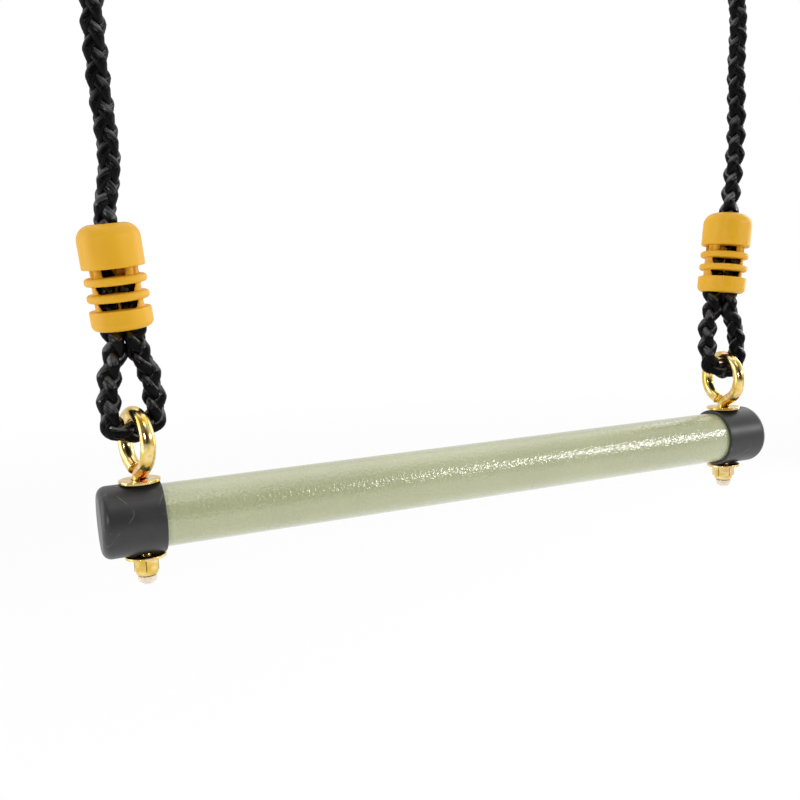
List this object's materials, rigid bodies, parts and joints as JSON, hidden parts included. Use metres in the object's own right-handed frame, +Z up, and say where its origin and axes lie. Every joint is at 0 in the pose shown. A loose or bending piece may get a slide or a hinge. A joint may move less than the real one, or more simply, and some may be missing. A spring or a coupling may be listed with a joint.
{
  "type": "trapeze bar",
  "caption": "Painted steel trapeze bar with capped ends, hung by bent eye bolts in the loops of black ropes that moulded clamps close, with steel hanging rings at the top.",
  "frame": {"origin": "midway between the two points where the hanging rings are held, at the inner top of the rings", "axes": "+X along the bar, from the left eye bolt to the right one, +Z up, +Y away from the viewer"},
  "size_m": [0.4724, 0.04, 0.5307],
  "materials": {
    "green_paint": "sage green powder coat, semi-gloss with a fine orange peel",
    "cap_plastic": "charcoal plastic, satin",
    "yellow_zinc": "yellow zinc plate, bright",
    "white_nylon": "cream nylon, satin",
    "black_rope": "black multifilament rope, braided, low sheen",
    "clamp_plastic": "yellow moulded plastic, satin",
    "polished_steel": "zinc plated steel, bright"
  },
  "bodies": {
    "hanging_rings": {"left_hanging_ring": "polished_steel", "right_hanging_ring": "polished_steel"},
    "left_upper": {"left_upper_loop": "black_rope", "left_upper_clamp": "clamp_plastic"},
    "left_stretch": {"left_rope": "black_rope"},
    "left_lower": {"left_lower_clamp": "clamp_plastic", "left_lower_loop": "black_rope"},
    "bar": {"bar_tube": "green_paint", "left_end_cap": "cap_plastic", "left_eye_bolt": "yellow_zinc", "left_upper_washer": "yellow_zinc", "left_lower_washer": "yellow_zinc", "left_lock_nut": "yellow_zinc", "left_thread_cap": "white_nylon", "right_end_cap": "cap_plastic", "right_eye_bolt": "yellow_zinc", "right_upper_washer": "yellow_zinc", "right_lower_washer": "yellow_zinc", "right_lock_nut": "yellow_zinc", "right_thread_cap": "white_nylon"},
    "right_upper": {"right_upper_loop": "black_rope", "right_upper_clamp": "clamp_plastic"},
    "right_stretch": {"right_rope": "black_rope"},
    "right_lower": {"right_lower_clamp": "clamp_plastic", "right_lower_loop": "black_rope"}
  },
  "joints": [
    {"name": "left_swing", "type": "hinge", "parent": "hanging_rings", "child": "left_upper", "pos_m": [-0.2102, 0, -0.043], "axis": [1, 0, 0], "range_deg": [-60, 60]},
    {"name": "left_sway", "type": "hinge", "parent": "left_upper", "child": "left_stretch", "pos_m": [-0.2102, 0, -0.1398], "axis": [0, 1, 0], "range_deg": [-15, 15]},
    {"name": "left_lower_flex", "type": "hinge", "parent": "left_stretch", "child": "left_lower", "pos_m": [-0.2102, 0, -0.3343], "axis": [0, 1, 0], "range_deg": [-15, 15]},
    {"name": "bar_roll", "type": "hinge", "parent": "left_lower", "child": "bar", "pos_m": [-0.205, 0, -0.44554], "axis": [1, 0, 0], "range_deg": [-30, 30]},
    {"name": "right_swing", "type": "hinge", "parent": "hanging_rings", "child": "right_upper", "pos_m": [0.2102, 0, -0.043], "axis": [1, 0, 0], "range_deg": [-60, 60]},
    {"name": "right_sway", "type": "hinge", "parent": "right_upper", "child": "right_stretch", "pos_m": [0.2102, 0, -0.1398], "axis": [0, 1, 0], "range_deg": [-15, 15]},
    {"name": "right_lower_flex", "type": "hinge", "parent": "right_stretch", "child": "right_lower", "pos_m": [0.2102, 0, -0.3343], "axis": [0, 1, 0], "range_deg": [-15, 15]}
  ],
  "couplings": [
    {"joint": "left_lower_flex", "follows": "left_sway", "ratio": -1},
    {"joint": "right_swing", "follows": "left_swing", "ratio": 1},
    {"joint": "right_sway", "follows": "left_sway", "ratio": 1},
    {"joint": "right_lower_flex", "follows": "left_sway", "ratio": -1}
  ]
}
